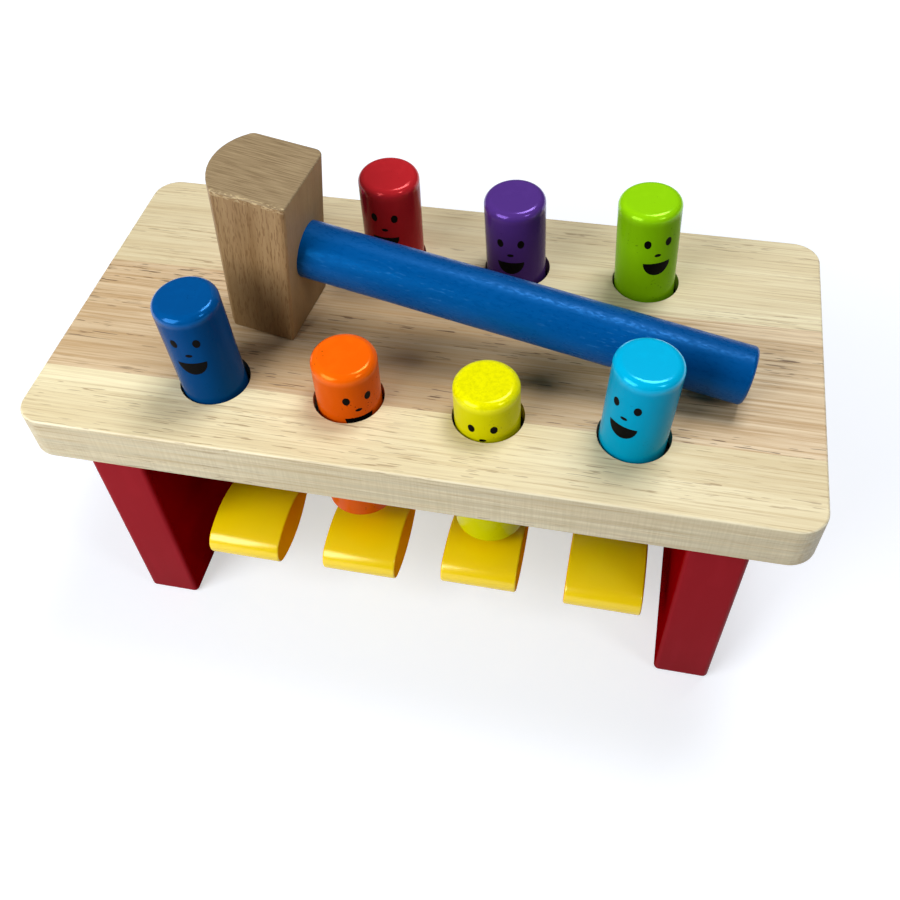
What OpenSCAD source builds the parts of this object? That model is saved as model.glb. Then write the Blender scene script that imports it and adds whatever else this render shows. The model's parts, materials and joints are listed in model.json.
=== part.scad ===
/* [Bench] */
// Length of the plank, along X
plank_length = 290.6; // [270:0.2:320]
// Width of the plank, along Y
plank_width = 147.6; // [140:0.2:160]
// Thickness of the plank
plank_thickness = 19.8; // [18:0.2:24]
// Height of the plank's top above the floor
bench_height = 119; // [116:0.5:130]
// Radius of the plank's corners, seen from above
corner_radius = 10.5; // [6:0.5:20]
// Rounding of the plank's top and bottom edges
plank_edge = 1; // [0.6:0.1:2.5]
// Y of the front glue line at the plank's left end
front_seam_left_y = -45.0; // [-50:0.5:-40]
// Y of the front glue line at the plank's right end
front_seam_right_y = -42.0; // [-50:0.5:-40]
// Y of the back glue line at the plank's left end
back_seam_left_y = 17.1; // [12:0.5:24]
// Y of the back glue line at the plank's right end
back_seam_right_y = 21.9; // [12:0.5:24]

/* [Holes] */
// Distance from the plank's ends to the middles of the outer holes, before a row is shifted
hole_end_distance = 67.15; // [64:0.05:68.5]
// Diameter of a peg hole
hole_d = 26.5; // [26:0.1:27.5]
// Y of the front row of holes
front_row_y = -41.4; // [-43:0.1:-39]
// Y of the back row of holes
back_row_y = 40.4; // [38:0.1:43]
// Sideways shift of the front row
front_row_shift = 1.2; // [-2:0.1:2]
// Sideways shift of the back row
back_row_shift = -1.5; // [-2:0.1:2]
// Diameter of the groove that holds a grip ring
groove_d = 32.6; // [32.6:0.1:34]
// Height of the groove that holds a grip ring
groove_height = 5.8; // [5.8:0.1:7]
// Thickness of a grip ring's cord
ring_cord_d = 3.2; // [2.8:0.1:3.4]

/* [Legs] */
// Thickness of a leg board, along X
leg_thickness = 22.4; // [20:0.2:24]
// Depth of a leg board, along Y
leg_depth = 136.8; // [130:0.2:139]
// Distance from the plank's end to the leg's outer face
leg_inset = 20.2; // [17:0.1:22]
// Rounding of the legs' edges
leg_edge = 2.2; // [1:0.1:3]
// Diameter of the dowels between legs and plank
dowel_d = 8; // [6:0.5:10]
// Depth that a dowel enters the plank
dowel_in_plank = 12; // [8:0.5:14]
// Depth that a dowel enters a leg
dowel_in_leg = 22; // [15:1:30]
// Distance between neighbouring dowels of a leg
dowel_pitch = 52; // [50:1:53]
// Y of the middle dowel of a leg
dowel_middle_y = -5; // [-6:0.5:-2]

/* [Pegs] */
// Diameter of a peg's shaft
peg_d = 24; // [23.8:0.05:24.2]
// Length of a peg, foot included
peg_length = 80; // [79:0.1:80.5]
// Rounding of a peg's top rim
peg_rim = 3; // [1.5:0.1:4]
// Diameter of a peg's foot, wider than the hole
foot_d = 28; // [27.6:0.1:29]
// Height of a peg's foot
foot_height = 16; // [13:0.1:16.2]
// Rounding of a foot's upper and lower rims
foot_rim = 1.5; // [0.5:0.1:2]

/* [Rockers] */
// Height of the rockers' axle above the floor
axle_height = 36; // [35.6:0.1:36.4]
// Diameter of the axle
axle_d = 6; // [5:0.1:6.5]
// Depth that the axle enters each leg
axle_in_leg = 12; // [8:0.5:16]
// Width of a rocker, along X
rocker_width = 30.9; // [29:0.1:31.5]
// Distance from the legs' inner faces to the middles of the outer rockers, before the shift
rocker_end_distance = 27.55; // [27.1:0.05:28]
// Sideways shift of the row of rockers on the axle
rocker_shift = 2.1; // [0:0.1:3]
// Distance from the axle to the middle of a lobe
lobe_reach = 49.3; // [48.8:0.1:49.8]
// Radius of a lobe's upper and lower face
lobe_face_r = 40.9; // [40:0.1:42]
// Thickness of a lobe
lobe_thickness = 17.3; // [16.8:0.1:17.4]
// Radius of a lobe's nose
lobe_nose_r = 6.6; // [6:0.1:7]
// Thickness of a rocker's neck
neck_thickness = 11; // [10:0.5:13]
// How far a neck's sides stand back from a lobe's sides
neck_inset = 1; // [0.5:0.1:2]
// Diameter of a rocker's middle, around the axle
hub_d = 19; // [16:0.5:22]
// Outer diameter of the spacers on the axle
spacer_d = 11; // [9:0.5:14]

/* [Mallet] */
// Width of the mallet's head
head_width = 36; // [34:0.1:37]
// Length of the mallet's head, between its striking faces
head_length = 63.6; // [62:0.1:66]
// Depth of the head's square part at its upper end, along the handle
head_square_depth = 27.3; // [25:0.1:29]
// How much less deep the head is at its lower end
head_taper = 3; // [0:0.1:4]
// Bulge of the head's round side beyond the square part
head_bulge = 7.5; // [5:0.1:8.5]
// Rounding of the edges round the head's two striking faces
head_edge = 0.6; // [0.3:0.1:1]
// Rounding of the head's long edges
head_corner = 1.2; // [1.1:0.1:2]
// Rounding of the head's two long edges on its far side
head_far_corner = 3.2; // [1.2:0.1:4]
// Diameter of the handle
handle_d = 21.5; // [20:0.1:22]
// Length of the handle outside the head
handle_reach = 167.1; // [150:0.1:168]
// How far the handle enters the head above its middle
handle_offset = 0.6; // [0:0.1:1]
// Angle that the handle's bore is out of square with the head, in degrees
handle_skew = 0.9; // [0:0.1:1.5]
// Depth that the handle enters the head
handle_in_head = 22; // [16:0.5:26]
// Rounding of the handle's free end
handle_rim = 1.6; // [0.5:0.1:3]
// Turn of the mallet, seen from above, in degrees
mallet_turn = -5.8; // [-7:0.1:-5]
// X of the head's handle face at mid height
mallet_x = -48.3; // [-50:0.1:-46]
// Y of the head's middle at mid height
mallet_y = 0; // [-2:0.1:2]

/* [Fits] */
// Radial clearance between a peg and its grip ring
grip_clearance = 0.05; // [0.02:0.01:0.1]
// Radial clearance between a rocker or spacer and the axle
axle_clearance = 0.08; // [0.02:0.01:0.1]
// Gap between a rocker's side and the spacer next to it
side_clearance = 0.3; // [0.2:0.05:0.5]
// Gap between the resting mallet and the plank
rest_clearance = 0.1; // [0.05:0.05:0.3]

/* [Hidden] */

// Holes, pegs and rockers are counted from the left
columns = 4;
column_middle = (columns - 1) / 2;
row_last = columns - 1;
$fn = 96;
soft_fn = 24;

// How far a cutter runs past the face that it cuts
overrun = 1;

// Stand of each peg's top above the plank, with its lean to the right and to the back in
// degrees, and the offset of its axis from the hole's middle at the plank's top
blue_stand = [42.3, -1.5, -1.9, -0.34, -0.25];
orange_stand = [22.1, 0.9, -1.0, 0.14, 0.05];
yellow_stand = [17.8, -0.8, -0.8, -0.36, -0.08];
light_blue_stand = [37.5, 2.2, -0.3, -0.33, 0.03];
pink_stand = [14.0, 0.6, -0.8, 0.1, 0.1];
red_stand = [40.4, 0.7, -2.2, 0.5, 0.1];
purple_stand = [36.0, -1.5, -2.6, -0.5, -0.3];
green_stand = [40.2, -3.0, -1.0, -0.5, -0.1];

// Tilt of each rocker in degrees, front end up
rocker_tilts = [3.1, 4.3, 7.8, 5.9];

plank_bottom_z = bench_height - plank_thickness;
hole_pitch = (plank_length - 2 * hole_end_distance) / row_last;
leg_middle_x = plank_length / 2 - leg_inset - leg_thickness / 2;
leg_inner_x = leg_middle_x - leg_thickness / 2;
dowel_length = dowel_in_plank + dowel_in_leg;
dowel_bottom_z = plank_bottom_z - dowel_in_leg;
ring_inner_r = peg_d / 2 + grip_clearance;
ring_middle_r = ring_inner_r + ring_cord_d / 2;
axle_length = 2 * (leg_inner_x + axle_in_leg);
axle_bore_d = axle_d + 2 * axle_clearance;
rocker_pitch = 2 * (leg_inner_x - rocker_end_distance) / row_last;
spacer_gap = rocker_pitch - rocker_width;
rocker_first_x = rocker_shift - column_middle * rocker_pitch;
rocker_last_x = rocker_shift + column_middle * rocker_pitch;
left_spacer_gap = leg_inner_x + rocker_first_x - rocker_width / 2;
right_spacer_gap = leg_inner_x - rocker_last_x - rocker_width / 2;

// The lobe's two faces are arcs about centres above and below its middle, and the nose is
// an arc that both of them touch
face_drop = lobe_face_r - lobe_thickness / 2;
nose_reach = sqrt(pow(lobe_face_r - lobe_nose_r, 2) - pow(face_drop, 2));
nose_join = lobe_face_r * nose_reach / (lobe_face_r - lobe_nose_r);
neck_width = rocker_width - 2 * neck_inset;

// Round side of the mallet's head: an arc through the two corners of the square part, and
// the angles at which it runs into the rounding of the near and far long edges
head_side_r = (pow(head_width / 2, 2) + pow(head_bulge, 2)) / (2 * head_bulge);
near_angle = asin((head_width / 2 - head_corner) / (head_side_r - head_corner));
far_angle = asin((head_width / 2 - head_far_corner) / (head_side_r - head_far_corner));
side_steps = 12;
head_end_height = 4 * head_edge;
handle_length = handle_reach + handle_in_head;

// Lean of the handle, which brings its free end down to the plank
mallet_lean = asin((head_length - handle_d + 2 * handle_offset) / 2 / handle_reach);

// Height of the mallet's middle, so that the head's low edge just clears the plank
mallet_z = bench_height + rest_clearance + head_length / 2 * cos(mallet_lean - handle_skew);

// Moves its children to a hole's middle at the plank's top
module at_hole(column, front) {
    x = (column - column_middle) * hole_pitch + (front ? front_row_shift : back_row_shift);
    translate([x, front ? front_row_y : back_row_y, bench_height])
        children();
}

// Moves its children onto the leaning axis of a peg, with zero at the plank's top
module on_peg_axis(column, front, stand) {
    at_hole(column, front)
        translate([stand[3], stand[4], 0])
            rotate([-stand[2], stand[1], 0])
                children();
}

// A disc with rounded rims, standing on the XY plane
module rim_disc(radius, height, rim) {
    rotate_extrude() {
        square([radius - rim, height]);
        translate([0, rim])
            square([radius, height - 2 * rim]);
        for (z = [rim, height - rim])
            translate([radius - rim, z])
                circle(r = rim, $fn = soft_fn);
    }
}

// The plank in one piece, before it is cut into staves and bored
module plank_blank() {
    hull()
        for (x = [-1, 1], y = [-1, 1])
            translate([
                x * (plank_length / 2 - corner_radius),
                y * (plank_width / 2 - corner_radius),
                plank_bottom_z
            ])
                rim_disc(corner_radius, plank_thickness, plank_edge, $fn = 2 * soft_fn);
}

// The strip between two glue lines, each given by its Y at the plank's left and right end
module stave_strip(front_left, front_right, back_left, back_right) {
    half = plank_length / 2;
    translate([0, 0, plank_bottom_z - overrun])
        linear_extrude(plank_thickness + 2 * overrun)
            polygon([
                [-half, front_left], [half, front_right],
                [half, back_right], [-half, back_left]
            ]);
}

// Peg holes with their ring grooves, and the blind holes for the leg dowels
module plank_bores() {
    for (column = [0 : row_last], front = [true, false])
        at_hole(column, front) {
            translate([0, 0, -plank_thickness - overrun])
                cylinder(d = hole_d, h = plank_thickness + 2 * overrun);
            translate([0, 0, -(plank_thickness + groove_height) / 2])
                cylinder(d = groove_d, h = groove_height);
        }
    dowels();
}

// The six dowels, three above each leg
module dowels() {
    for (side = [-1, 1], step = [-1, 0, 1])
        translate([side * leg_middle_x, dowel_middle_y + step * dowel_pitch, dowel_bottom_z])
            cylinder(d = dowel_d, h = dowel_length);
}

module front_stave() {
    edge = -plank_width / 2 - overrun;
    color("#E6D9B0")
        difference() {
            intersection() {
                plank_blank();
                stave_strip(edge, edge, front_seam_left_y, front_seam_right_y);
            }
            plank_bores();
        }
}

module middle_stave() {
    color("#C9AD82")
        difference() {
            intersection() {
                plank_blank();
                stave_strip(
                    front_seam_left_y, front_seam_right_y, back_seam_left_y, back_seam_right_y
                );
            }
            plank_bores();
        }
}

module back_stave() {
    edge = plank_width / 2 + overrun;
    color("#E0CFA2")
        difference() {
            intersection() {
                plank_blank();
                stave_strip(back_seam_left_y, back_seam_right_y, edge, edge);
            }
            plank_bores();
        }
}

// A leg board, rounded on its upright and lower edges and flat where it meets the plank
module leg(side) {
    half_x = leg_thickness / 2 - leg_edge;
    half_y = leg_depth / 2 - leg_edge;
    color("#8A2530")
        difference() {
            translate([side * leg_middle_x, 0, 0])
                hull()
                    for (x = [-half_x, half_x], y = [-half_y, half_y]) {
                        translate([x, y, leg_edge])
                            sphere(r = leg_edge, $fn = soft_fn);
                        translate([x, y, plank_bottom_z / 2])
                            cylinder(r = leg_edge, h = plank_bottom_z / 2, $fn = soft_fn);
                    }
            dowels();
            axle_rod();
        }
}

module left_leg() {
    leg(-1);
}

module right_leg() {
    leg(1);
}

module leg_dowels() {
    color("#D8C08E")
        dowels();
}

// One grip ring round a peg, at the middle of the plank
module grip_ring(column, front, stand) {
    on_peg_axis(column, front, stand)
        translate([0, 0, -plank_thickness / 2])
            rotate_extrude()
                translate([ring_middle_r, 0])
                    circle(d = ring_cord_d, $fn = soft_fn);
}

module grip_rings() {
    color("#1C1C1C") {
        grip_ring(0, true, blue_stand);
        grip_ring(1, true, orange_stand);
        grip_ring(2, true, yellow_stand);
        grip_ring(row_last, true, light_blue_stand);
        grip_ring(0, false, pink_stand);
        grip_ring(1, false, red_stand);
        grip_ring(2, false, purple_stand);
        grip_ring(row_last, false, green_stand);
    }
}

// The axle's rod, in its holes in both legs
module axle_rod() {
    translate([-axle_length / 2, 0, axle_height])
        rotate([0, 90, 0])
            cylinder(d = axle_d, h = axle_length);
}

module rocker_axle() {
    color("#B9BCC0")
        axle_rod();
}

// A tube on the axle that fills a gap beginning at x, less its side clearances
module spacer(x, gap) {
    color("#D8C08E")
        translate([x + side_clearance, 0, axle_height])
            rotate([0, 90, 0])
                difference() {
                    cylinder(d = spacer_d, h = gap - 2 * side_clearance);
                    translate([0, 0, -overrun])
                        cylinder(d = axle_bore_d, h = gap + 2 * overrun);
                }
}

module middle_spacers() {
    for (column = [0 : row_last - 1])
        spacer(rocker_first_x + column * rocker_pitch + rocker_width / 2, spacer_gap);
}

module left_spacer() {
    spacer(-leg_inner_x, left_spacer_gap);
}

module right_spacer() {
    spacer(rocker_last_x + rocker_width / 2, right_spacer_gap);
}

// A round disc across the rocker's whole width, its axis along X
module rocker_disc(radius, y, z) {
    translate([-rocker_width / 2, y, z])
        rotate([0, 90, 0])
            cylinder(r = radius, h = rocker_width);
}

// A lobe that reaches towards -Y, with its middle at the lobe reach
module lobe() {
    intersection() {
        rocker_disc(lobe_face_r, -lobe_reach, face_drop);
        rocker_disc(lobe_face_r, -lobe_reach, -face_drop);
        translate([-rocker_width, -lobe_reach - nose_join, -lobe_thickness])
            cube([2 * rocker_width, nose_join + lobe_reach, 2 * lobe_thickness]);
    }
    rocker_disc(lobe_nose_r, -lobe_reach - nose_reach, 0);
}

// A rocker: two lobes, a neck between them and a round hub on the axle
module rocker(column) {
    color("#F2CE00")
        translate([rocker_first_x + column * rocker_pitch, 0, axle_height])
            rotate([-rocker_tilts[column], 0, 0])
                difference() {
                    union() {
                        for (turn = [0, 180])
                            rotate([0, 0, turn])
                                lobe();
                        translate([-neck_width / 2, -lobe_reach, -neck_thickness / 2])
                            cube([neck_width, 2 * lobe_reach, neck_thickness]);
                        rocker_disc(hub_d / 2, 0, 0);
                    }
                    translate([-rocker_width, 0, 0])
                        rotate([0, 90, 0])
                            cylinder(d = axle_bore_d, h = 2 * rocker_width);
                }
}

module rocker_1() {
    rocker(0);
}

module rocker_2() {
    rocker(1);
}

module rocker_3() {
    rocker(2);
}

module rocker_4() {
    rocker(row_last);
}

// A peg: a turned shaft with a round top rim and a wider foot that can't pass the hole
module peg(column, front, stand, tone) {
    color(tone)
        on_peg_axis(column, front, stand)
            translate([0, 0, stand[0] - peg_length])
                rotate_extrude() {
                    square([peg_d / 2 - peg_rim, peg_length]);
                    square([peg_d / 2, peg_length - peg_rim]);
                    translate([peg_d / 2 - peg_rim, peg_length - peg_rim])
                        circle(r = peg_rim, $fn = 2 * soft_fn);
                    square([foot_d / 2 - foot_rim, foot_height]);
                    translate([0, foot_rim])
                        square([foot_d / 2, foot_height - 2 * foot_rim]);
                    for (z = [foot_rim, foot_height - foot_rim])
                        translate([foot_d / 2 - foot_rim, z])
                            circle(r = foot_rim, $fn = soft_fn);
                }
}

module blue_peg() {
    peg(0, true, blue_stand, "#0A55A0");
}

module orange_peg() {
    peg(1, true, orange_stand, "#FF6A14");
}

module yellow_peg() {
    peg(2, true, yellow_stand, "#EEF000");
}

module light_blue_peg() {
    peg(row_last, true, light_blue_stand, "#00B4E6");
}

module pink_peg() {
    peg(0, false, pink_stand, "#E8609A");
}

module red_peg() {
    peg(1, false, red_stand, "#B8232B");
}

module purple_peg() {
    peg(2, false, purple_stand, "#4E2E85");
}

module green_peg() {
    peg(row_last, false, green_stand, "#8EDB1A");
}

// Moves its children to the mallet: zero is on the head's handle face, +X along the handle
module at_mallet() {
    translate([mallet_x, mallet_y, mallet_z])
        rotate([0, 0, mallet_turn])
            rotate([0, mallet_lean, 0])
                children();
}

// The handle with its rounded free end, from inside the head to beyond it
module handle_bar() {
    translate([-handle_in_head, 0, handle_offset])
        rotate([0, 90, 0])
            rotate_extrude() {
                square([handle_d / 2 - handle_rim, handle_length]);
                square([handle_d / 2, handle_length - handle_rim]);
                translate([handle_d / 2 - handle_rim, handle_length - handle_rim])
                    circle(r = handle_rim, $fn = soft_fn);
            }
}

// One end of the head, as low discs that mark its long edges and its round side
module head_end(z, depth) {
    side_x = head_side_r - depth - head_bulge;
    side_r = head_side_r - head_corner;
    far_side_r = head_side_r - head_far_corner;
    translate([0, 0, z]) {
        translate([-head_corner, head_corner - head_width / 2, 0])
            rim_disc(head_corner, head_end_height, head_edge, $fn = soft_fn);
        translate([-head_far_corner, head_width / 2 - head_far_corner, 0])
            rim_disc(head_far_corner, head_end_height, head_edge, $fn = soft_fn);
        translate([side_x - far_side_r * cos(far_angle), far_side_r * sin(far_angle), 0])
            rim_disc(head_far_corner, head_end_height, head_edge, $fn = soft_fn);
        for (step = [0 : side_steps]) {
            angle = -near_angle + (near_angle + far_angle) * step / side_steps;
            translate([side_x - side_r * cos(angle), side_r * sin(angle), 0])
                rim_disc(head_corner, head_end_height, head_edge, $fn = soft_fn);
        }
    }
}

// The head: a block with a flat face at the handle and a round side behind
module mallet_head() {
    color("#B08E62")
        at_mallet()
            difference() {
                rotate([0, -handle_skew, 0])
                    hull() {
                        head_end(head_length / 2 - head_end_height, head_square_depth);
                        head_end(-head_length / 2, head_square_depth - head_taper);
                    }
                handle_bar();
            }
}

module mallet_handle() {
    color("#0A55A0")
        at_mallet()
            handle_bar();
}

front_stave();
middle_stave();
back_stave();
left_leg();
right_leg();
leg_dowels();
grip_rings();
rocker_axle();
middle_spacers();
left_spacer();
right_spacer();
rocker_1();
rocker_2();
rocker_3();
rocker_4();
blue_peg();
orange_peg();
yellow_peg();
light_blue_peg();
pink_peg();
red_peg();
purple_peg();
green_peg();
mallet_head();
mallet_handle();
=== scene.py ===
import json
from math import asin, atan2, cos, pi, radians, sin

import bmesh
import bpy
from mathutils import Euler, Matrix, Vector


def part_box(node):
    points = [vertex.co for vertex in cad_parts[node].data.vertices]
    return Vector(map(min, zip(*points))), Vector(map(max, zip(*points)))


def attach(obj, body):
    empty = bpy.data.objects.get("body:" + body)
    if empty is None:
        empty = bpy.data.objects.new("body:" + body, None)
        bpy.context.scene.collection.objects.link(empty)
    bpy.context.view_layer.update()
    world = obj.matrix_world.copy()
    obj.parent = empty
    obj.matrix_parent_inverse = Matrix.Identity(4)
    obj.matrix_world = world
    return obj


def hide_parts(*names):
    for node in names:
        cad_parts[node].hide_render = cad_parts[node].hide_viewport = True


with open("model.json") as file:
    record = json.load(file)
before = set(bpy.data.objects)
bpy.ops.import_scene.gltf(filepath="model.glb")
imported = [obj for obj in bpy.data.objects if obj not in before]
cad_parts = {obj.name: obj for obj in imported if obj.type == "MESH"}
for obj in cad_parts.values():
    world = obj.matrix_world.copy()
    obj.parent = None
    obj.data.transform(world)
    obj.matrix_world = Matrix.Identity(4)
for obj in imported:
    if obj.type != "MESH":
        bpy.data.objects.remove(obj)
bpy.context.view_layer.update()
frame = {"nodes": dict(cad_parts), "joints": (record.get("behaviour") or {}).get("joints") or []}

# The plank: three staves of pale tropical wood, glued edge to edge, planed and lightly
# varnished. The grain runs along the plank, with short dark flecks. Each stave has its own
# tone, and the milled sides and ends are greyer and marked upright by the planer.
stave_line_relief = 0.00003
# Where the middle stave's dark middle begins and is full, from the left and from the right.
# It is partly the wood's own heartwood and partly painted shadow of the mallet's handle
heart_and_shade_left = (-0.085, -0.03)
heart_and_shade_right = (0.1, 0.04)


def rgb(code):
    """A written colour, such as E6D9B0, as the linear colour that a shader takes."""
    levels = [int(code[i:i + 2], 16) / 255 for i in (0, 2, 4)]
    return [v / 12.92 if v <= 0.04045 else ((v + 0.055) / 1.055) ** 2.4 for v in levels] + [1]


class Finish:
    """A material under construction, with short ways to add and join its nodes. A share is a
    number from 0 to 1 at each point of the surface, and lengths are in metres."""

    def __init__(self, name, roughness, specular):
        self.material = bpy.data.materials.new(name)
        self.material.use_nodes = True
        self.tree = self.material.node_tree
        self.shader = self.tree.nodes["Principled BSDF"]
        self.shader.inputs["Roughness"].default_value = roughness
        self.shader.inputs["Specular IOR Level"].default_value = specular
        self.place = self.add("ShaderNodeTexCoord", {}, output="Object")

    def add(self, kind, inputs, output=0, **settings):
        """One output of a new node whose inputs are numbers, written colours or outputs."""
        node = self.tree.nodes.new(kind)
        for key, value in settings.items():
            setattr(node, key, value)
        for key, value in inputs.items():
            if isinstance(value, bpy.types.NodeSocket):
                self.tree.links.new(value, node.inputs[key])
            elif isinstance(value, str):
                node.inputs[key].default_value = rgb(value)
            else:
                node.inputs[key].default_value = value
        return node.outputs[output]

    def on_piece(self, centre, turn=(0, 0, 0)):
        """Object coordinates measured from a piece's own centre, along its own axes."""
        inputs = {"Vector": self.place, "Location": centre, "Rotation": turn}
        return self.add("ShaderNodeMapping", inputs, vector_type="TEXTURE")

    def spread(self, value, start, end, low=0.0, high=1.0):
        """Runs from low to high while the value runs from start to end."""
        inputs = {"Value": value, "From Min": start, "From Max": end}
        return self.add("ShaderNodeMapRange", {**inputs, "To Min": low, "To Max": high})

    def noise(self, place, waves, detail=2.0, rough=0.5, start=0.35, end=0.65):
        """A share from noise with so many waves a metre along each axis. It is 0 where the
        noise is at start or below and 1 where it is at end or above."""
        scaled = self.add("ShaderNodeMapping", {"Vector": place, "Scale": waves})
        inputs = {"Vector": scaled, "Scale": 1.0, "Detail": detail, "Roughness": rough}
        return self.spread(self.add("ShaderNodeTexNoise", inputs), start, end)

    def along(self, place, axis, start, end):
        """A share that grows from 0 at start to 1 at end, along the X, Y or Z axis."""
        distance = self.add("ShaderNodeSeparateXYZ", {0: place}, output=axis)
        return self.spread(distance, start, end)

    def facing(self, axis, start, end):
        """A share that grows as the surface turns from start to end, where 1 means that it
        faces along the axis, 0 that it is square to it and -1 that it faces the other way."""
        normal = self.add("ShaderNodeNewGeometry", {}, output="Normal")
        return self.along(normal, axis, start, end)

    def both(self, first, second):
        """The product of two shares."""
        inputs = {0: first, 1: second}
        return self.add("ShaderNodeMath", inputs, operation="MULTIPLY", use_clamp=True)

    def either(self, first, second):
        """The sum of two shares, 1 at most."""
        inputs = {0: first, 1: second}
        return self.add("ShaderNodeMath", inputs, operation="ADD", use_clamp=True)

    def mix(self, share, first, second):
        """The first colour where the share is 0, the second where it is 1. Inputs 6 and 7 and
        output 2 are the node's colours; the ones before them are for plain numbers."""
        inputs = {"Factor": share, 6: first, 7: second}
        return self.add("ShaderNodeMix", inputs, output=2, data_type="RGBA")

    def stain(self, tone, colour, where, share):
        """The tone with a colour laid over it. Where says at which points, and share says
        how much of the colour is laid there."""
        return self.mix(self.both(where, share), tone, colour)

    def relief(self, height, depth):
        """Shades the surface as if it rose by this depth where the height is 1."""
        bump = self.add("ShaderNodeBump", {"Height": height, "Distance": depth, "Strength": 1.0})
        self.tree.links.new(bump, self.shader.inputs["Normal"])

    def finish(self, colour, roughness=None, specular=None):
        """The material with its colour, and where they vary its roughness and its gloss."""
        wanted = {"Base Color": colour, "Roughness": roughness, "Specular IOR Level": specular}
        for name, value in wanted.items():
            if value is not None:
                self.tree.links.new(value, self.shader.inputs[name])
        return self.material


def stave_wood(name, pale, brown, line_share, fleck, fleck_share, shift, shaded_end, heart_and_shade=0.0):
    """Planed wood with its grain along X. The pattern is moved by shift to a fresh place, the
    wood is painted darker towards the X of shaded_end as painted shade for light falling off,
    and heart_and_shade is how far its middle darkens, partly heartwood and partly painted shadow."""
    wood = Finish(name, roughness=0.45, specular=0.35)
    place = wood.on_piece(shift)
    bands = wood.noise(place, waves=(3, 60, 60), detail=5, start=0.3, end=0.7)
    tone = wood.stain(pale, brown, where=bands, share=0.5)
    # Painted shade: the wood is painted darker towards one end, where less light falls
    painted_falloff = wood.along(wood.place, "X", -shaded_end, shaded_end)
    tone = wood.stain(tone, brown, where=painted_falloff, share=0.3)
    # Painted shadow: the middle stave darkens in its middle, partly heartwood, partly the
    # handle's shadow
    if heart_and_shade:
        heart_and_shadow = wood.both(wood.along(wood.place, "X", *heart_and_shade_left),
                              wood.along(wood.place, "X", *heart_and_shade_right))
        tone = wood.stain(tone, "80603A", where=heart_and_shadow, share=heart_and_shade)

    planer = wood.noise(place, waves=(1300, 1300, 60), detail=2)
    milled = wood.stain("DFD4B7", "BCB08F", where=planer, share=0.5)
    layers = wood.noise(place, waves=(14, 60, 700), detail=4, start=0.38, end=0.62)
    milled = wood.stain(milled, "9E9070", where=layers, share=0.5)
    side = wood.facing("Z", 0.75, 0.3)
    tone = wood.stain(tone, milled, where=side, share=0.75)
    # Painted highlight: the rounded top edges are painted paler, as if they caught the light
    rounding = wood.both(wood.facing("Z", 0.97, 0.85), wood.facing("Z", 0.3, 0.6))
    tone = wood.stain(tone, "F8F2D8", where=rounding, share=0.7)

    lines = wood.noise(place, waves=(14, 750, 750), detail=4, rough=0.65, start=0.38, end=0.64)
    tone = wood.stain(tone, brown, where=lines, share=line_share)
    threads = wood.noise(place, waves=(30, 1500, 1500), detail=3, rough=0.7, start=0.55, end=0.68)
    tone = wood.stain(tone, "9A7648", where=threads, share=0.35)
    pores = wood.noise(place, waves=(95, 1350, 1350), detail=1, start=0.64, end=0.68)
    clusters = wood.noise(place, waves=(10, 90, 90), detail=2, start=0.42, end=0.6)
    tone = wood.stain(tone, fleck, where=wood.both(pores, clusters), share=fleck_share)
    wood.relief(lines, stave_line_relief)
    return wood.finish(tone, roughness=wood.spread(lines, 0, 1, low=0.38, high=0.55))


def dress(node, material):
    """Gives a CAD node its finished material."""
    frame["nodes"][node].material_slots[0].material = material


dress("front_stave", stave_wood(
    "pale_stave", pale="FCF3CC", brown="CDB688", line_share=0.5, fleck="74481C",
    fleck_share=0.45, shift=(0, 0.3, 0), shaded_end=0.14))
dress("middle_stave", stave_wood(
    "brown_stave", pale="FCEAC8", brown="B48E5C", line_share=0.7, fleck="401C08",
    fleck_share=0.7, shift=(0.4, 0, 0), shaded_end=-0.2, heart_and_shade=0.4))
dress("back_stave", stave_wood(
    "back_stave", pale="FCF4D0", brown="CEB688", line_share=0.5, fleck="74481C",
    fleck_share=0.45, shift=(0.1, 0.7, 0), shaded_end=-0.14))

# The legs: two boards of the same wood, sprayed with wine red lacquer, doweled and glued
# under the plank. The grain shows a little through the film. The inner faces are dull, and
# painted a darker red as painted shade.


def lacquer(film, place, colour, dark, gleam, grain):
    """The tone of lacquer on wood, with slight clouds and faint lines of grain. Its shine
    takes the colour of the gleam."""
    film.shader.inputs["Specular Tint"].default_value = rgb(gleam)
    clouds = film.noise(place, waves=(60, 60, 60), detail=3)
    lines = film.noise(place, waves=grain, detail=2)
    return film.stain(colour, dark, where=film.either(clouds, lines), share=0.3)


def middle_of(node):
    """The middle of a CAD node's box at rest."""
    low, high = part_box(node)
    return [(a + b) / 2 for a, b in zip(low, high)]


def flank(film, way):
    """The faces that look to the right, or to the left where way is -1."""
    return film.facing("X", way * 0.5, way * 0.9)


for node, inwards in (("left_leg", 1), ("right_leg", -1)):
    film = Finish(node, roughness=0.4, specular=0.02)
    place = film.on_piece(middle_of(node))
    tone = lacquer(film, place, "9A1A24", "881018", gleam="FF6060", grain=(200, 200, 20))
    inner_face = flank(film, inwards)
    # Painted shade: the inner faces, under the plank, are painted a darker red
    tone = film.mix(inner_face, tone, "840004")
    gloss = film.spread(inner_face, 0, 1, low=0.03, high=0.0)
    dress(node, film.finish(tone, specular=gloss))

# Hidden inside the bench: beech dowels between legs and plank, black rubber rings that
# grip the pegs, the steel axle, and beech spacers that keep the rockers apart.
beech_pale = "D8C08E"
beech_dark = "B99B66"


def plain_turned(name, colour, dark, roughness, waves):
    """Unpainted turned wood, rubber or metal with faint lines."""
    stock = Finish(name, roughness, specular=0.4)
    lines = stock.noise(stock.place, waves=waves)
    return stock.finish(stock.stain(colour, dark, where=lines, share=0.5))


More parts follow.
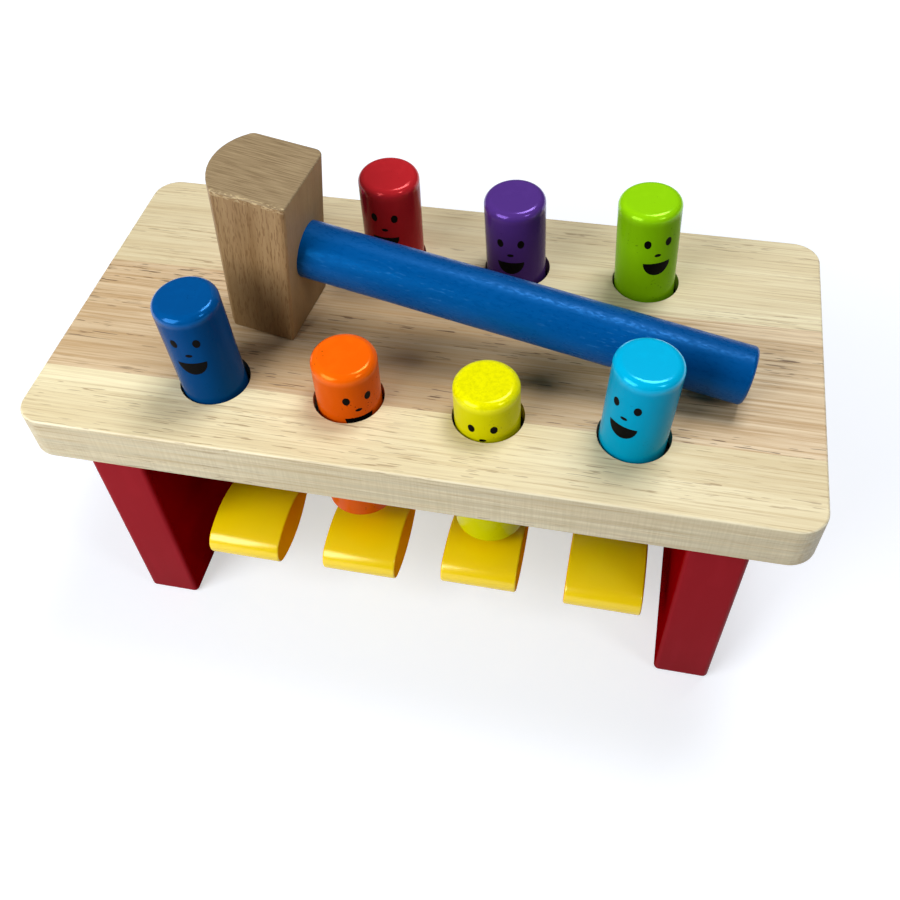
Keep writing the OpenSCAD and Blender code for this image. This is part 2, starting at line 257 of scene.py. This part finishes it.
dress("leg_dowels", plain_turned(
    "dowel_beech", beech_pale, beech_dark, roughness=0.6, waves=(500, 500, 20)))
dress("grip_rings", plain_turned(
    "ring_rubber", "1C1C1C", "0E0E0E", roughness=0.75, waves=(300, 300, 300)))
steel = plain_turned("axle_steel", "B9BCC0", "9DA1A6", roughness=0.3, waves=(20, 2500, 2500))
steel.node_tree.nodes["Principled BSDF"].inputs["Metallic"].default_value = 1.0
dress("rocker_axle", steel)
spacer_beech = plain_turned(
    "spacer_beech", beech_pale, beech_dark, roughness=0.6, waves=(20, 500, 500))
for spacer in ("middle_spacers", "left_spacer", "right_spacer"):
    dress(spacer, spacer_beech)

# The rockers: see-saws cut from solid wood, with two swollen lobes and a neck over the
# axle. Their edges are sanded round and they are sprayed with warm yellow gloss lacquer.
rocker_sand_r = 0.0009
rocker_half_width = 0.01545
rocker_bearing = Vector((0, 0, 0.036))
rocker_hub_reach = 0.02
# What tells the edges to be rounded, and the sharp ones, from the small flats of a curve
same_point = 1e-6
width_play = 1e-5
flat_within = radians(0.5)
edge_from = radians(30)
smooth_up_to = radians(35)


def put_in_scene(name, data):
    """A new object in the scene, at the origin."""
    thing = bpy.data.objects.new(name, data)
    bpy.context.scene.collection.objects.link(thing)
    return thing


def sanded_rocker(node):
    """The rocker's CAD solid with the edges of its sides rounded, but for those at the hub."""
    shape = bmesh.new()
    shape.from_mesh(frame["nodes"][node].data)
    bmesh.ops.remove_doubles(shape, verts=shape.verts, dist=same_point)
    bmesh.ops.dissolve_limit(
        shape, angle_limit=flat_within, verts=shape.verts, edges=shape.edges)
    middle = middle_of(node)[0]
    sides = []
    for edge in shape.edges:
        out = min(abs(vert.co.x - middle) for vert in edge.verts)
        from_axle = min((vert.co - rocker_bearing).yz.length for vert in edge.verts)
        on_side = out > rocker_half_width - width_play and from_axle >= rocker_hub_reach
        if on_side and edge.calc_face_angle(0) > edge_from:
            sides.append(edge)
    bmesh.ops.bevel(
        shape, geom=sides, offset=rocker_sand_r, offset_type="OFFSET", segments=4,
        profile=0.5, affect="EDGES", material=-1, clamp_overlap=True)
    mesh = bpy.data.meshes.new(node + "_sanded")
    shape.to_mesh(mesh)
    shape.free()
    mesh.shade_smooth()
    mesh.set_sharp_from_angle(angle=smooth_up_to)
    return put_in_scene(node + "_sanded", mesh)


for count in range(1, 5):
    node = f"rocker_{count}"
    piece = sanded_rocker(node)
    film = Finish(node + "_lacquer", roughness=0.24, specular=1.0)
    place = film.on_piece(middle_of(node))
    tone = lacquer(film, place, "FFDE00", "FFD200", gleam="FFFAD0", grain=(300, 30, 300))
    flanks = film.either(flank(film, 1), flank(film, -1))
    # Painted shade: the flat sides are painted a darker orange than the lobes
    tone = film.mix(flanks, tone, "F0A400")
    gloss = film.spread(flanks, 0, 1, low=1.0, high=0.0)
    piece.data.materials.append(film.finish(tone, specular=gloss))
    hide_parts(node)
    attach(piece, node)

# The pegs: turned wooden dowels with a rounded top and a wider foot, each lacquered in its
# own colour. Each has a simple laughing face printed in black on its side. The tops are
# glossier than the shafts, the shafts are painted darker as painted shade, and the yellow one's
# top is worn by the mallet.
peg_r = 0.012
# Depths below a peg's top where its flat top, its rounding and the wear end
peg_top_depth = 0.0015
peg_rounding_depth = 0.0045
wear_depth = 0.003
# The print stands just proud of the lacquer, and is cut into strips to bend round the peg
print_lift = 0.00003
print_thickness = 0.0001
print_strip = 0.0006
oval_corners = 28
eye_spacing = 0.0082
eye_width = 0.0027
eye_height = 0.0038
nose_drop = 0.0054
nose_width = 0.0026
nose_height = 0.0014
mouth_drop = 0.0092
mouth_half_width = 0.0054
mouth_depth = 0.0058

# Colour, darker tone, colour of the gleam, colour and share of the specks, height of the top
# over the plank, eyes below the top, turn of the face in degrees
pegs = {
    "blue_peg": ("005298", "004684", "3898E8", "003060", 0.2, 0.0423, 0.0116, 8.0),
    "orange_peg": ("FF6C08", "FA5A00", "FFA040", "8A3000", 0.9, 0.0221, 0.0115, 34.5),
    "yellow_peg": ("FAF800", "EEE800", "FFFF60", "C4C000", 0.5, 0.0178, 0.0124, 2.4),
    "light_blue_peg": ("00BCEC", "00ACDE", "50D4FF", "0080AA", 0.3, 0.0375, 0.0124, -25.2),
    "pink_peg": ("F0609E", "E04C8C", "FF90C0", "A02C60", 0.3, 0.0140, 0.0122, 5.0),
    "red_peg": ("CE2A32", "BA1C24", "FF7070", "700C14", 0.4, 0.0404, 0.0126, 0.8),
    "purple_peg": ("58368C", "4C2C80", "A880F4", "281454", 0.2, 0.0360, 0.0139, -0.3),
    "green_peg": ("9CE00C", "8CD400", "B4F048", "3C5C0C", 0.5, 0.0402, 0.0122, 22.3),
}


def peg_stance(node):
    """Where a peg's leaning axis meets the plank's top, and how the peg is turned."""
    for joint in frame["joints"]:
        if joint["child"] == node:
            axis = Vector(joint["axis"])
            if axis.z < 0:
                axis.negate()
            lean = Euler((-asin(axis.y), atan2(axis.x, axis.z), 0))
            return Vector(joint["pos_m"]), lean


def flat_oval(width, height, across, up):
    """A flat oval, standing upright in the XZ plane round a middle point."""
    shape = bmesh.new()
    bmesh.ops.create_circle(shape, cap_ends=True, segments=oval_corners, radius=1)
    bmesh.ops.scale(shape, verts=shape.verts, vec=(width / 2, height / 2, 1))
    bmesh.ops.rotate(shape, verts=shape.verts, matrix=Matrix.Rotation(pi / 2, 3, "X"))
    bmesh.ops.translate(shape, verts=shape.verts, vec=(across, 0, up))
    return shape


def cut(shape, through, across, clear=False):
    """Cuts a flat shape through a point, and where asked clears what lies past the cut."""
    everything = shape.verts[:] + shape.edges[:] + shape.faces[:]
    bmesh.ops.bisect_plane(
        shape, geom=everything, plane_co=through, plane_no=across, clear_outer=clear)


def face_parts():
    """The flat eyes, nose and mouth, with the eyes' line at height zero."""
    for side in (-1, 1):
        yield flat_oval(eye_width, eye_height, side * eye_spacing / 2, 0)
    yield flat_oval(nose_width, nose_height, 0, -nose_drop)
    mouth = flat_oval(2 * mouth_half_width, 2 * mouth_depth, 0, -mouth_drop)
    cut(mouth, (0, 0, -mouth_drop), (0, 0, 1), clear=True)
    yield mouth


def wrap_face(node, top, eyes_down, turn):
    """Wraps the printed face round a peg's shaft as one thin film."""
    whole = bmesh.new()
    mesh = bpy.data.meshes.new(node + "_face")
    for part in face_parts():
        reach = max(abs(vert.co.x) for vert in part.verts)
        strips = int(reach / print_strip) + 1
        for strip in range(-strips, strips + 1):
            cut(part, (strip * print_strip, 0, 0), (1, 0, 0))
        part.to_mesh(mesh)
        part.free()
        whole.from_mesh(mesh)
    grown = bmesh.ops.extrude_face_region(whole, geom=whole.faces[:])
    outer = [item for item in grown["geom"] if isinstance(item, bmesh.types.BMVert)]
    bmesh.ops.translate(whole, verts=outer, vec=(0, -print_thickness, 0))
    height = top - eyes_down
    for vert in whole.verts:
        radius = peg_r + print_lift - print_thickness - vert.co.y
        angle = radians(turn) + vert.co.x / peg_r
        vert.co = Vector((radius * sin(angle), -radius * cos(angle), height + vert.co.z))
    place, lean = peg_stance(node)
    stance = Matrix.Translation(place) @ lean.to_matrix().to_4x4()
    bmesh.ops.transform(whole, matrix=stance, verts=whole.verts)
    bmesh.ops.recalc_face_normals(whole, faces=whole.faces)
    whole.to_mesh(mesh)
    whole.free()
    return put_in_scene(node + "_face", mesh)


ink = Finish("face_print", roughness=0.5, specular=0.05)
fade = ink.noise(ink.place, waves=(700, 700, 700), detail=2)
black = ink.finish(ink.stain("020203", "0A0A0C", where=fade, share=0.5))

for node, (colour, dark, gleam, speck, speck_share, top, eyes_down, turn) in pegs.items():
    film = Finish(node, roughness=0.16, specular=0.5)
    place = film.on_piece(*peg_stance(node))
    tone = lacquer(film, place, colour, dark, gleam, grain=(300, 300, 25))
    dots = film.noise(place, waves=(1100, 1100, 1100), detail=0, start=0.76, end=0.78)
    patches = film.noise(place, waves=(75, 75, 75), detail=0, start=0.5, end=0.6)
    tone = film.stain(tone, speck, where=film.both(dots, patches), share=speck_share)
    if node == "yellow_peg":
        on_top = film.along(place, "Z", top - wear_depth, top - peg_top_depth)
        worn = film.noise(place, waves=(700, 700, 700), detail=4, rough=0.7, start=0.4, end=0.75)
        tone = film.mix(film.both(on_top, worn), tone, "DEDC00")
    shaft = film.along(place, "Z", top - peg_top_depth, top - peg_rounding_depth)
    # Painted shade: the shafts are painted darker than the tops
    tone = film.stain(tone, "000000", where=shaft, share=0.3)
    gloss = film.spread(shaft, 0, 1, low=1.0, high=0.05)
    dress(node, film.finish(tone, specular=gloss))
    face = wrap_face(node, top, eyes_down, turn)
    face.data.materials.append(black)
    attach(face, node)

# The mallet: a sawn block of unpainted beech with a round back and a blue lacquered handle,
# glued into a bore in the block's flat face. It lies on the plank between the peg rows, on
# the block's lower end and the tip of the handle.
head_reach = 0.0318
head_x = -0.0483
handle_r = 0.01075
handle_reach = 0.1671
# The handle sits this far above the block's middle, and its bore is this far out of square
handle_offset = 0.0006
bore_error = radians(0.9)
mallet_yaw = radians(-5.8)
plank_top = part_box("middle_stave")[1][2]
rest_gap = 0.0001
handle_lean = asin((head_reach - handle_r + handle_offset) / handle_reach)
head_lean = handle_lean - bore_error
mallet_place = Vector((head_x, 0, plank_top + rest_gap + head_reach * cos(head_lean)))

beech_relief = 0.00004
# Heights along the block from its middle: where the painted shade on its lower part starts,
# and where the end grain and the splinters of the front edge begin and are full
foot_shade_z = 0.012
end_grain_inner = head_reach - 0.0007
end_grain_outer = head_reach - 0.0004
splinter_inner = head_reach - 0.0022
splinter_outer = head_reach - 0.0009
front_edge = (-0.0162, -0.0174)
scuff_relief = 0.000004

beech = Finish("mallet_beech", roughness=0.55, specular=0.3)
place = beech.on_piece(mallet_place, (0, head_lean, mallet_yaw))
bands = beech.noise(place, waves=(90, 90, 8), detail=4)
tone = beech.stain("AA8C63", "90724A", where=bands, share=0.9)
lines = beech.noise(place, waves=(750, 750, 22), detail=3)
tone = beech.stain(tone, "765530", where=lines, share=0.4)
rays = beech.noise(place, waves=(2200, 2200, 260), detail=1, start=0.55, end=0.64)
tone = beech.stain(tone, "6E4C2A", where=rays, share=0.55)
# Painted light: the block's flat face is painted paler than its other faces, as if lit more
painted_light_face = beech.facing("X", 0.6, 0.85)
tone = beech.stain(tone, "DCB684", where=painted_light_face, share=0.45)
# Painted shade: the block's lower part is painted darker towards the plank
foot = beech.along(place, "Z", foot_shade_z, -head_reach)
tone = beech.stain(tone, "5C4014", where=foot, share=0.5)

saw = beech.noise(place, waves=(90, 1700, 1700), detail=4, start=0.3, end=0.7)
end_tone = beech.mix(saw, "AC9672", "826C4C")
upper_end = beech.along(place, "Z", end_grain_inner, end_grain_outer)
lower_end = beech.along(place, "Z", -end_grain_inner, -end_grain_outer)
tone = beech.mix(beech.either(upper_end, lower_end), tone, end_tone)

near_end = beech.along(place, "Z", splinter_inner, splinter_outer)
near_front = beech.along(place, "Y", *front_edge)
chips = beech.noise(place, waves=(500, 1600, 1600), detail=3, start=0.5, end=0.58)
splinters = beech.both(beech.both(near_end, near_front), chips)
tone = beech.stain(tone, "D8C396", where=splinters, share=0.7)
beech.relief(lines, beech_relief)
dress("mallet_head", beech.finish(tone))

film = Finish("handle_lacquer", roughness=0.3, specular=0.6)
place = film.on_piece(mallet_place, (0, handle_lean, mallet_yaw))
tone = lacquer(film, place, "005096", "004484", gleam="1890E8", grain=(25, 350, 350))
worn = film.noise(place, waves=(25, 60, 60), detail=1, start=0.52, end=0.7)
scratches = film.noise(place, waves=(300, 1300, 1300), detail=2, start=0.6, end=0.7)
tone = film.stain(tone, "3A82C4", where=film.both(worn, scratches), share=0.3)
scuffs = film.noise(place, waves=(420, 1000, 1000), detail=3, start=0.4, end=0.6)
film.relief(scuffs, scuff_relief)
dull = film.spread(scuffs, 0, 1, low=0.26, high=0.5)
dress("mallet_handle", film.finish(tone, roughness=dull))

# Around the toy: a white paper floor that runs out of sight, soft lamps in front at the left
# and the right and high up behind, faint light from all round, and the camera where the
# photograph was taken.
floor_reach = 6
glow_grows_from = 0.2
glow_full_from = 0.9
lamp_aim = Vector((0, 0, 0.09))
light_all_round = 0.06
# The camera's place in metres, turn in degrees, lens and sensor in millimetres
camera_place = (0.069908, -0.270451, 0.385645)
camera_turn = (39.12265, 1.93499, 11.72901)
camera_lens = 39.3072
camera_sensor = 36

floor_mesh = bpy.data.meshes.new("floor")
sheet = bmesh.new()
bmesh.ops.create_grid(sheet, x_segments=1, y_segments=1, size=floor_reach)
sheet.to_mesh(floor_mesh)
sheet.free()
floor = put_in_scene("floor", floor_mesh)
paper = Finish("floor_paper", roughness=0.9, specular=0.0)
paper.shader.inputs["Base Color"].default_value = (0.6, 0.63, 0.69, 1)

# The paper looks white far from the toy, and dimmer near it, so that the toy's shadow shows
light_path = paper.tree.nodes.new("ShaderNodeLightPath")
seen = paper.either(light_path.outputs["Is Camera Ray"], light_path.outputs["Is Glossy Ray"])
seen = paper.either(seen, light_path.outputs["Is Transmission Ray"])
away = paper.add("ShaderNodeVectorMath", {0: paper.place}, output="Value", operation="LENGTH")
glow = paper.spread(away, glow_grows_from, glow_full_from, low=0.53, high=0.98)
paper.tree.links.new(paper.both(seen, glow), paper.shader.inputs["Emission Strength"])
paper.shader.inputs["Emission Color"].default_value = (0.96, 0.98, 1, 1)
floor_mesh.materials.append(paper.material)


def soft_lamp(name, azimuth, elevation, distance, size, power):
    """A square lamp, so many metres off and so strong in watts. Azimuth 0 is in front of the
    toy and 90 is to its right."""
    lamp = bpy.data.lights.new(name, "AREA")
    lamp.size = size
    lamp.energy = power
    holder = put_in_scene(name, lamp)
    around = radians(azimuth)
    up = radians(elevation)
    away = Vector((cos(up) * sin(around), -cos(up) * cos(around), sin(up)))
    holder.location = lamp_aim + distance * away
    holder.rotation_euler = away.to_track_quat("Z", "Y").to_euler()


soft_lamp("left_window", azimuth=-40, elevation=31, distance=0.8, size=0.5, power=5.4)
soft_lamp("right_lamp", azimuth=60, elevation=42, distance=0.8, size=0.16, power=0.8)
soft_lamp("ceiling", azimuth=148, elevation=68, distance=1.3, size=0.5, power=10.0)

world = bpy.data.worlds.new("studio")
bpy.context.scene.world = world
world.use_nodes = True
air = world.node_tree
backdrop = air.nodes["Background"]
backdrop.inputs["Color"].default_value = (1, 1, 1, 1)
paths = air.nodes.new("ShaderNodeLightPath")
strength = air.nodes.new("ShaderNodeMapRange")
air.links.new(paths.outputs["Is Camera Ray"], strength.inputs["Value"])
strength.inputs["To Min"].default_value = light_all_round
strength.inputs["To Max"].default_value = 1.0
air.links.new(strength.outputs[0], backdrop.inputs["Strength"])

camera = bpy.data.cameras.new("camera")
camera.sensor_width = camera_sensor
camera.lens = camera_lens
viewer = put_in_scene("camera", camera)
viewer.location = camera_place
viewer.rotation_euler = [radians(angle) for angle in camera_turn]
bpy.context.scene.camera = viewer
bpy.context.scene.view_settings.view_transform = "Standard"
